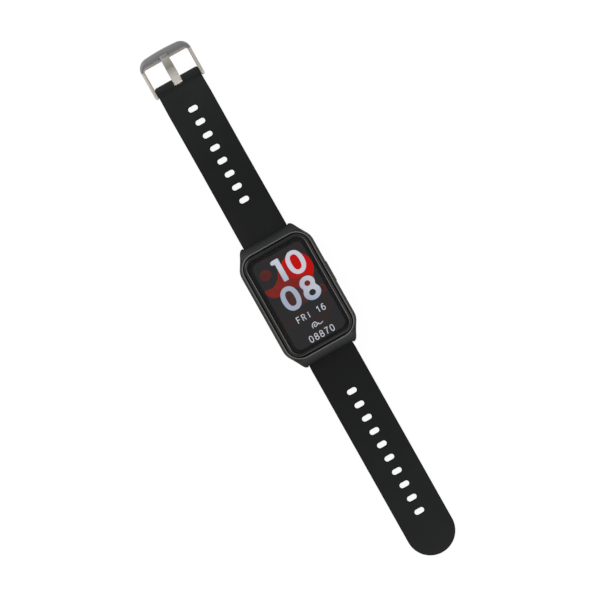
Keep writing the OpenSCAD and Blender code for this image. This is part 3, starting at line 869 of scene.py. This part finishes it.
def make_display_shapes():
    """A bright disc that runs into a dim wave, and small dim shapes."""
    z = LAYER_Z + 0.02
    shade = [
        (-6.5, 4), (-5.6, 1), (-4.6, -1.6), (-2.4, -3.6), (1, -4.2), (3.6, -3), (6, 0.5),
        (8.6, 2.6), (9.2, 5.4), (4, 6.4), (-2, 6.4),
    ]
    deep = glow("wave_deep", (72, 45, 43), 0.12)
    display_piece("display_deep_wave", [inlay(smooth_loop(shade), [], z)], deep)
    band = [
        (-10.9, 7.6), (-7.6, 7.5), (-5.6, 8.2), (-3.4, 9.6), (3, 9.4), (8.4, 7.4), (9.3, 4.2),
        (8.2, 1.4), (5.4, 0.6), (3, 2), (-1, 3.8), (-4.4, 4), (-6.6, 3.1), (-8.8, 3.7),
        (-10.2, 5),
    ]
    dim = glow("wave_dim", (124, 35, 30), 0.08)
    display_piece("display_dim_wave", [inlay(smooth_loop(band), [], z + 0.01)], dim)
    disc = arc((4.75, 9.25), 6.65, 141, -50, 26)
    swoop = [
        (7.9, 5), (7, 5.9), (5, 5.9), (2.6, 6.2), (1, 7), (-1.4, 7.6), (-3.4, 7.6),
        (-4.9, 8.5), (-3.7, 9.9), (-2.8, 11.6), (-1.6, 12.9),
    ]
    display_piece("display_bright_wave", [inlay(disc + swoop, [], z + 0.02)], fading_red())
    dot = inlay(oval((-7.4, 13.2), 2.4, 2.2), [], z)
    loop = inlay(oval((10.1, -2.3), 1.35, 1.85), [oval((9.8, -2), 0.7, 0.8)[::-1]], z)
    display_piece("display_small_shapes", [dot, loop], glow("shape_dim", (83, 37, 33), 0.1))


def boxed_oval(x0, x1, y0, y1, power=2.2):
    """Oval that fills a box."""
    return oval(((x0 + x1) / 2, (y0 + y1) / 2), (x1 - x0) / 2, (y1 - y0) / 2, 48, power)


def make_display_time():
    """Big numerals of the time, in two rows."""
    z = LAYER_Z + 0.05
    right, base, top = 0.1, 7.3, 17
    stem, flag = right - 2.2, top - 1.75
    one = [
        (right, base), (right, top), (-2.6, top), (-3.55, top - 0.4), (-3.55, top - 1.4),
        (-3.1, flag), (stem, flag), (stem, base),
    ]
    numerals = [
        (smooth_corners(one, 0.5), []),
        (boxed_oval(2, 9.4, 7.1, 17), [(3.95, 7.45, 8.85, 15.3, 2.5)]),
        (boxed_oval(-6.85, 0.7, -4.75, 5.4), [(-4.8, -1.4, -2.85, 3.5, 2.5)]),
        (eight_outline(), [(4.4, 6.8, 1.3, 3.55, 2), (4.25, 7.05, -2.95, -0.5, 2)]),
    ]
    parts = [inlay(outer, [boxed_oval(*h)[::-1] for h in holes], z) for outer, holes in numerals]
    display_piece("display_time", parts, cloudy_white())


def eight_outline():
    """Outer outline of the numeral 8: a smaller bowl over a larger one."""
    upper = [(5.62 + 3.2 * x, 2.55 + 2.85 * y) for x, y in arc((0, 0), 1, -32, 212, 26)]
    return upper + [(5.65 + 3.6 * x, 3.15 * y - 1.6) for x, y in arc((0, 0), 1, 146, 394, 26)]


def smooth_corners(points, radius):
    """Rounds the corners of a closed outline."""
    steps = 5
    outline = []
    count = len(points)
    for i in range(count):
        here = Vector(points[i])
        back = Vector(points[i - 1]) - here
        on = Vector(points[(i + 1) % count]) - here
        reach = min(radius, back.length * 0.45, on.length * 0.45)
        start = here + back.normalized() * reach
        end = here + on.normalized() * reach
        for k in range(steps + 1):
            t = k / steps
            outline.append(tuple(start * (1 - t) ** 2 + here * 2 * t * (1 - t) + end * t**2))
    return outline


# Strokes of the small characters, on a grid 0.6 wide and 1 high; a sign's ovals come first
OVALS = {
    "0": [oval((0.3, 0.5), 0.27, 0.5, 24, 2.3)],
    "6": [oval((0.3, 0.3), 0.27, 0.3, 20)],
    "8": [oval((0.3, 0.74), 0.23, 0.26, 20), oval((0.3, 0.25), 0.28, 0.27, 20)],
}
STROKES = {
    "1": [[(0.1, 0.76), (0.38, 0.97), (0.38, 0)]],
    "6": [[(0.52, 0.86), (0.4, 0.99), (0.2, 0.93), (0.07, 0.65), (0.04, 0.3)]],
    "7": [[(0.03, 1), (0.57, 1), (0.34, 0.55), (0.22, 0)]],
    "F": [[(0.55, 1), (0.05, 1), (0.05, 0)], [(0.05, 0.52), (0.48, 0.52)]],
    "I": [[(0.32, 0), (0.32, 1)]],
    "R": [
        [(0.05, 0), (0.05, 1), (0.36, 1), (0.54, 0.88), (0.54, 0.62), (0.36, 0.5), (0.13, 0.5)],
        [(0.36, 0.5), (0.58, 0)],
    ],
}


def small_row(text, left, base, height, advance, z):
    parts = []
    for i, sign in enumerate(text):
        for table, closed in ((OVALS, True), (STROKES, False)):
            for line in table.get(sign, []):
                points = [(left + advance * i + x * height, base + y * height) for x, y in line]
                parts.append(ribbon(points, ROW_STROKE, z, closed))
    return parts


def make_display_rows():
    """Weekday and day, a shoe in two strokes, and the step count."""
    z = LAYER_Z + 0.05
    parts = small_row("FRI", -5.33, -10, 2.45, 2.27, z)
    parts += small_row("16", 3.55, -10, 2.45, 2.2, z)
    parts += small_row("08870", -4.65, -19.1, 2.5, 2.36, z)
    heel = [
        (-1.05, -14.5), (-1.15, -13.6), (-0.7, -12.85), (0, -12.5), (0.75, -12.55), (1.15, -13.25),
        (0.9, -13.95), (0.2, -14.35), (-0.35, -14), (-0.15, -13.35), (0.4, -13.3),
    ]
    toe = [(1.15, -13.95), (1.65, -13.5), (1.85, -14.05), (2.4, -14.2), (3.65, -13.8)]
    parts += [ribbon(line, SHOE_STROKE, z) for line in (heel, toe)]
    display_piece("display_rows", parts, glow("row_light", (196, 198, 206), 0.05))


# ---- Materials ----

def linear(rgb):
    """Linear colour from 0 to 255 display values."""
    def channel(value):
        c = value / 255
        return c / 12.92 if c <= 0.04045 else ((c + 0.055) / 1.055) ** 2.4
    return (*[channel(c) for c in rgb], 1)


def tinted(rgb, by):
    return linear([min(c * by, 255) for c in rgb])


class Shading:
    """The node tree of a material or a world, with what the looks add to it."""

    def __init__(self, owner):
        owner.use_nodes = True
        self.owner = owner
        self.nodes, self.links = owner.node_tree.nodes, owner.node_tree.links
        self.shader = self.nodes.get("Principled BSDF") or self.nodes["Background"]

    def put(self, socket, value):
        """Links a socket to another one, or sets its value."""
        if isinstance(value, bpy.types.NodeSocket):
            self.links.new(value, socket)
        else:
            socket.default_value = value

    def shade(self, name, value):
        self.put(self.shader.inputs[name], value)

    def surface(self, socket):
        """Takes another shader in place of the one it came with."""
        self.nodes.remove(self.shader)
        self.put(self.nodes["Material Output"].inputs["Surface"], socket)

    def node(self, kind, inputs, **settings):
        node = self.nodes.new("ShaderNode" + kind)
        for name, value in settings.items():
            setattr(node, name, value)
        for key, value in inputs.items():
            self.put(node.inputs[key], value)
        return node

    def math(self, operation, *values):
        return self.node("Math", dict(enumerate(values)), operation=operation).outputs["Value"]

    def place(self, kind="Object"):
        return self.node("TexCoord", {}).outputs[kind]

    def noise(self, scale, detail, stretch=(1, 1, 1)):
        """Noise over the object, with scale in cycles per metre."""
        mapping = self.node("Mapping", {"Scale": stretch, "Vector": self.place()})
        inputs = {"Scale": scale, "Detail": detail, "Vector": mapping.outputs["Vector"]}
        return self.node("TexNoise", inputs).outputs["Fac"]

    def ramp(self, factor, stops):
        """Colour ramp from stops of (place, colour)."""
        node = self.node("ValToRGB", {"Fac": factor})
        elements = node.color_ramp.elements
        while len(elements) < len(stops):
            elements.new(0.5)
        for element, stop in zip(elements, stops):
            element.position, element.color = stop
        return node.outputs["Color"]

    def span(self, value, start, end, low=0, high=1):
        """Maps a value from start to end onto low to high."""
        inputs = {"From Min": start, "From Max": end, "To Min": low, "To Max": high, "Value": value}
        return self.node("MapRange", inputs).outputs["Result"]

    def spread(self, factor, low, high):
        """Maps a noise's usual span to a range."""
        return self.span(factor, 0.3, 0.7, low, high)

    def mottled(self, rgb, variation, patch, detail):
        """A colour that is a little lighter and darker in patches."""
        stops = [(0.3, tinted(rgb, 1 - variation)), (0.7, tinted(rgb, 1 + variation))]
        return self.ramp(self.noise(patch, detail), stops)

    def along(self, axis, start, end, both_ways=False):
        """0 to 1 between two places on an axis, in millimetres, on both sides of 0 if asked."""
        value = self.node("SeparateXYZ", {"Vector": self.place()}).outputs[axis]
        if both_ways:
            value = self.math("ABSOLUTE", value)
        return self.span(value, start * MM, end * MM)

    def tone(self, start, end, stops, both_ways=False):
        """Paints light and shade into the base colour along Y."""
        target = self.shader.inputs["Base Color"]
        peak = max(share for place, share in stops)
        shares = [(place, (share / peak, share / peak, share / peak, 1)) for place, share in stops]
        factor = self.ramp(self.along("Y", start, end, both_ways), shares)
        inputs = {0: target.links[0].from_socket, 1: factor}
        both = self.node("VectorMath", inputs, operation="MULTIPLY").outputs["Vector"]
        scaled = self.node("VectorMath", {"Scale": peak, "Vector": both}, operation="SCALE")
        self.put(target, scaled.outputs["Vector"])


def new_look(name):
    return Shading(bpy.data.materials.new(name))


def textured(name, rgb, variation, rough, grain, depth, metallic=0, stretch=(1, 1, 1), specular=0.5):
    """Mottled colour, uneven gloss and a fine grain; depth is the grain's, in metres."""
    look = new_look(name)
    look.shade("Base Color", look.mottled(rgb, variation, 90, 3))
    fine = look.noise(grain, 5, stretch)
    look.shade("Roughness", look.spread(fine, *rough))
    look.shade("Metallic", metallic)
    look.shade("Specular IOR Level", specular)
    bump = look.node("Bump", {"Distance": depth, "Strength": 1, "Height": fine})
    look.shade("Normal", bump.outputs["Normal"])
    return look


# Plain finishes, as textured() takes them
FINISHES = {
    "border_ink": ((34, 34, 35), 0.04, (0.3, 0.4), 4000, 2e-6, 0, (1, 1, 1), 0),
    "button_metal": ((74, 74, 73), 0.04, (0.3, 0.4), 12000, 8e-6, 0.8),
    "glass_rim": ((24, 25, 25), 0.04, (0.2, 0.28), 5000, 1e-6),
    # Painted shade on the straps' slot walls, rounded sides and tail
    "moulded_edge": ((8, 8, 8), 0.06, (0.5, 0.6), 5200, 5e-6, 0, (1, 1, 1), 0.12),
    # Painted highlight round the top of the case's rim
    "rim_edge": ((133, 130, 124), 0.05, (0.3, 0.4), 5000, 4e-6, 0.5),
    "spring_wire": ((168, 168, 166), 0.05, (0.26, 0.36), 6000, 4e-6, 1),
}


def finish(name):
    return textured(name, *FINISHES[name])


def case_metal():
    look = textured("case_metal", (54, 55, 55), 0.05, (0.38, 0.48), 9000, 12e-6, 0.6, specular=0.15)
    look.shade("Specular Tint", (0.15, 0.15, 0.15, 1))
    # Painted light on the case's ends, by distance along Y: a painted highlight just below the rim
    # that fades to painted shade down the end slope.
    stops = [(0, 1), (0.08, 1.3), (0.3, 1.2), (0.6, 0.95), (1, 0.55)]
    look.tone(23.2, 26.9, stops, both_ways=True)
    return look


def silicone():
    """Matt silicone, with painted shade by the case and in the crease by the buckle, and painted light
    towards the buckle and the tail.
    """
    look = textured("strap_silicone", (27, 28, 28), 0.07, (0.52, 0.68), 5200, 20e-6, specular=0.25)
    start, end = LOWER_LOW.y, UPPER_HIGH.y
    # Painted light and shade along Y: painted shade by the case, painted light towards the tail and
    # the buckle, painted shade in the crease and a painted highlight on the roll round the buckle's
    # bar.
    shares = [
        (start, 1.4), (-105, 1.25), (-70, 0.9), (-45, 0.68), (-30, 0.32), (0, 0.5), (30, 0.62),
        (45, 0.66), (62, 0.74), (72, 0.9), (90, 1.4), (CREASE_Y - 2, 1.4), (CREASE_Y, 0.7),
        (CREASE_Y + 1.2, 1.6), (end, 1.3),
    ]
    look.tone(start, end, [((y - start) / (end - start), share) for y, share in shares])
    return look


def steel(name, rgb, variation):
    """Satin steel, brushed across the watch."""
    return textured(name, rgb, variation, (0.38, 0.5), 2600, 6e-6, 0.3, (0.12, 1, 1))


def frame_steel():
    """Bright arms, and painted shade that darkens the strip inside the front bar."""
    look = steel("buckle_steel", (216, 208, 199), 0.04)
    # Painted shade on the strip inside the front bar, by Y.
    look.tone(106, 109, [(0, 1), (0.5, 0.9), (0.8, 0.5)])
    return look


def tongue_steel():
    """Painted light along the blade: a painted highlight by the strap, a soft band of painted shade,
    and painted shade over the front bar.
    """
    look = steel("tongue_steel", (252, 244, 232), 0.02)
    # Painted light and shade along the blade, by Y.
    look.tone(97, 111, [
        (0.04, 1), (0.21, 0.86), (0.32, 0.74), (0.46, 0.54), (0.55, 0.35), (0.66, 0.44),
        (0.83, 0.56), (0.88, 0.31), (0.95, 0.255),
    ])
    return look


def glass_line():
    """Painted highlight where the glass starts to curve, bright along the sides and fading to painted
    shade towards the ends.
    """
    look = textured("glass_line", (126, 125, 121), 0.04, (0.24, 0.32), 5000, 1e-6, 0.2)
    # Painted highlight along the sides, fading towards the ends by distance along Y.
    look.tone(16, 21.5, [(0, 1), (1, 0.14)], both_ways=True)
    return look


def bonded_face():
    """Underside of the glass, bonded to the display, which doesn't mirror."""
    look = new_look("bonded_face")
    film = look.ramp(look.noise(80, 2), [(0, (0.97, 0.97, 0.97, 1)), (1, (1, 1, 1, 1))])
    look.surface(look.node("BsdfTransparent", {"Color": film}).outputs["BSDF"])
    return look


def clear_glass():
    """Clear, and it mirrors by angle, the same both ways."""
    look = new_look("cover_glass")
    facing = look.node("LayerWeight", {"Blend": 0.5}).outputs["Facing"]
    share = look.math("MULTIPLY_ADD", look.math("POWER", facing, 5), 0.96, 0.04)
    gloss = look.node("BsdfGlossy", {"Roughness": look.spread(look.noise(60, 2), 0.03, 0.06)})
    clear = look.node("BsdfTransparent", {})
    inputs = {"Fac": share, 1: clear.outputs["BSDF"], 2: gloss.outputs["BSDF"]}
    look.surface(look.node("MixShader", inputs).outputs["Shader"])
    return look


def glow(name, rgb, variation):
    """Light of the display: a colour that glows, a little uneven."""
    return glow_by(name, lambda look: look.mottled(rgb, variation, 260, 2))


def glow_by(name, colour_of, stops=None):
    """Black and matt but for the light it gives. With stops, what it takes is their factor."""
    look = new_look(name)
    colour = colour_of(look)
    if stops:
        colour = look.ramp(colour, [(place, linear(rgb)) for place, rgb in stops])
    look.shade("Base Color", (0.002, 0.002, 0.002, 1))
    look.shade("Roughness", 0.5)
    look.shade("Specular IOR Level", 0)
    look.shade("Emission Color", colour)
    look.shade("Emission Strength", 1)
    return look


def lit_background():
    """Dark lit ground with faint red patches."""
    stops = [(0.42, (40, 41, 42)), (0.56, (43, 41, 42)), (0.7, (54, 37, 37))]
    return glow_by("lit_background", lambda look: look.noise(190, 2), stops)


def clouded(look, span_x, span_y, patch, depth):
    """Mean of the shares along X and Y, moved to and fro by noise."""
    total = look.math("ADD", look.along("X", *span_x), look.along("Y", *span_y))
    cloud = look.spread(look.noise(patch, 1), -depth, depth)
    return look.math("MULTIPLY_ADD", total, 0.5, cloud)


def cloudy_white():
    """Lavender white that turns bluer down and to the left, in soft clouds."""
    stops = [(0.33, (163, 173, 192)), (0.52, (184, 190, 203)), (0.64, (201, 203, 213))]
    return glow_by("cloudy_white", lambda look: clouded(look, (-8, 10), (-6, 20), 130, 0.08), stops)


def fading_red():
    """Bright red that fades on the left to the red of the dim wave."""
    stops = [(0.22, (124, 35, 30)), (0.34, (166, 22, 18)), (0.43, (189, 7, 6))]
    return glow_by("wave_bright", lambda look: clouded(look, (-4, 8), (4, 28), 260, 0.02), stops)


def paint(piece, look):
    piece.data.materials.clear()
    piece.data.materials.append(look.owner)


# ---- CAD nodes that stay ----

def cad_looks():
    """A finish for each material slot of the record whose nodes stay."""
    looks = {
        "adhesive": ((22, 22, 22), 0.1, (0.5, 0.7), 3000, 10e-6),
        "display_panel": ((30, 30, 34), 0.05, (0.15, 0.25), 3000, 2e-6),
        "white_film": ((226, 226, 222), 0.03, (0.3, 0.45), 2500, 4e-6),
        "flex_cable": ((176, 96, 34), 0.08, (0.35, 0.5), 3500, 6e-6),
        "frame_plastic": ((44, 45, 47), 0.08, (0.5, 0.65), 3200, 10e-6),
        "back_plastic": ((36, 36, 38), 0.06, (0.42, 0.56), 6000, 10e-6),
        "circuit_board": ((18, 78, 48), 0.14, (0.3, 0.45), 2400, 12e-6),
        "chip_package": ((30, 30, 32), 0.1, (0.45, 0.6), 5200, 10e-6),
        "tinned_steel": ((196, 198, 200), 0.05, (0.28, 0.4), 3200, 6e-6, 1),
        "antenna_foil": ((212, 176, 96), 0.06, (0.3, 0.42), 2600, 6e-6, 1),
        "battery_pouch": ((182, 184, 188), 0.05, (0.32, 0.46), 1500, 20e-6, 0.7),
        "button_metal": ((150, 150, 150), 0.05, (0.3, 0.42), 4000, 6e-6, 1),
        "seal_rubber": ((28, 28, 30), 0.1, (0.6, 0.75), 3600, 10e-6),
        "gasket_rubber": ((196, 74, 34), 0.08, (0.5, 0.65), 3600, 10e-6),
        "sensor_lens": ((12, 12, 14), 0.05, (0.05, 0.09), 1200, 1e-6),
        "led_lens": ((120, 214, 120), 0.06, (0.15, 0.25), 3000, 4e-6),
        "gold_contact": ((226, 184, 96), 0.05, (0.2, 0.3), 5200, 4e-6, 1),
        "magnet_plate": ((176, 178, 182), 0.05, (0.25, 0.36), 3600, 6e-6, 1),
        "bar_steel": ((178, 178, 176), 0.05, (0.24, 0.34), 5200, 6e-6, 1, (4, 1, 1)),
    }
    name_of = {"button_metal": "switch_metal"}
    return {slot: textured(name_of.get(slot, slot), *values) for slot, values in looks.items()}


def paint_cad_nodes():
    """Gives each CAD node that stays its slot's finish."""
    looks = cad_looks()
    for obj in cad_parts.values():
        for place in obj.material_slots:
            for slot, look in looks.items():
                if place.material and place.material.name.startswith(slot):
                    place.material = look.owner
                    break


# ---- Stage ----

TABLE_HALF = 1500


def make_stage():
    """Pale table that glows, to stay as white as the studio."""
    corners = [(-1, -1), (1, -1), (1, 1), (-1, 1)]
    points = [(x * TABLE_HALF, y * TABLE_HALF, 0) for x, y in corners]
    floor = make_piece("table_top", points, [(0, 1, 2, 3)])
    look = textured("table_top", (104, 104, 104), 0.004, (0.7, 0.8), 700, 5e-6, specular=0.1)
    look.shade("Emission Color", (1, 1, 1, 1))
    look.shade("Emission Strength", 0.93)
    paint(floor, look)


def make_world():
    """Bright round the horizon and dim overhead, so that flat gloss stays dark."""
    bpy.context.scene.world = bpy.data.worlds.new("studio")
    sky = Shading(bpy.context.scene.world)
    up = sky.node("SeparateXYZ", {"Vector": sky.place("Generated")}).outputs["Z"]
    stops = [
        (0, (0.8, 0.8, 0.8, 1)), (0.35, (1, 1, 1, 1)),
        (0.75, (0.42, 0.42, 0.43, 1)), (1, (0.2, 0.2, 0.21, 1)),
    ]
    sky.shade("Color", sky.ramp(up, stops))
    sky.shade("Strength", 0.8)


def area_light(name, place, size, watts):
    light = bpy.data.lights.new(name, "AREA")
    light.shape, light.size, light.energy = "SQUARE", size, watts
    lamp = in_scene(name, light)
    lamp.location = place
    lamp.rotation_euler = (-Vector(place)).to_track_quat("-Z", "Y").to_euler()


def make_lights():
    """Soft boxes: place and size in metres, and power in watts."""
    area_light("key", (-0.7, 0.9, 1), 0.7, 6)
    area_light("fill", (1, -0.3, 0.9), 0.8, 1)
    area_light("back", (0.2, -1.1, 0.9), 0.8, 3)


CAMERA_DISTANCE = 2.5
CAMERA_SPAN = 0.24
CAMERA_TURN = -29.36
CAMERA_AIM = (-0.00024, -0.002)


def make_camera():
    """Looks straight down, from far enough to flatten perspective."""
    lens = bpy.data.cameras.new("camera")
    lens.sensor_width = 36
    lens.lens = lens.sensor_width * CAMERA_DISTANCE / CAMERA_SPAN
    lens.clip_end = 20
    camera = in_scene("camera", lens)
    camera.location = (*CAMERA_AIM, CAMERA_DISTANCE)
    camera.rotation_euler = (0, 0, radians(CAMERA_TURN))
    bpy.context.scene.camera = camera


bpy.context.scene.view_settings.view_transform = "Standard"
make_camera()
make_world()
make_lights()
make_stage()
paint_cad_nodes()
make_case_shell()
make_cover_glass()
make_side_button()
make_upper_strap()
make_lower_strap()
make_buckle_frame()
make_buckle_tongue()
make_springs()
make_display_border()
make_display_shapes()
make_display_time()
make_display_rows()
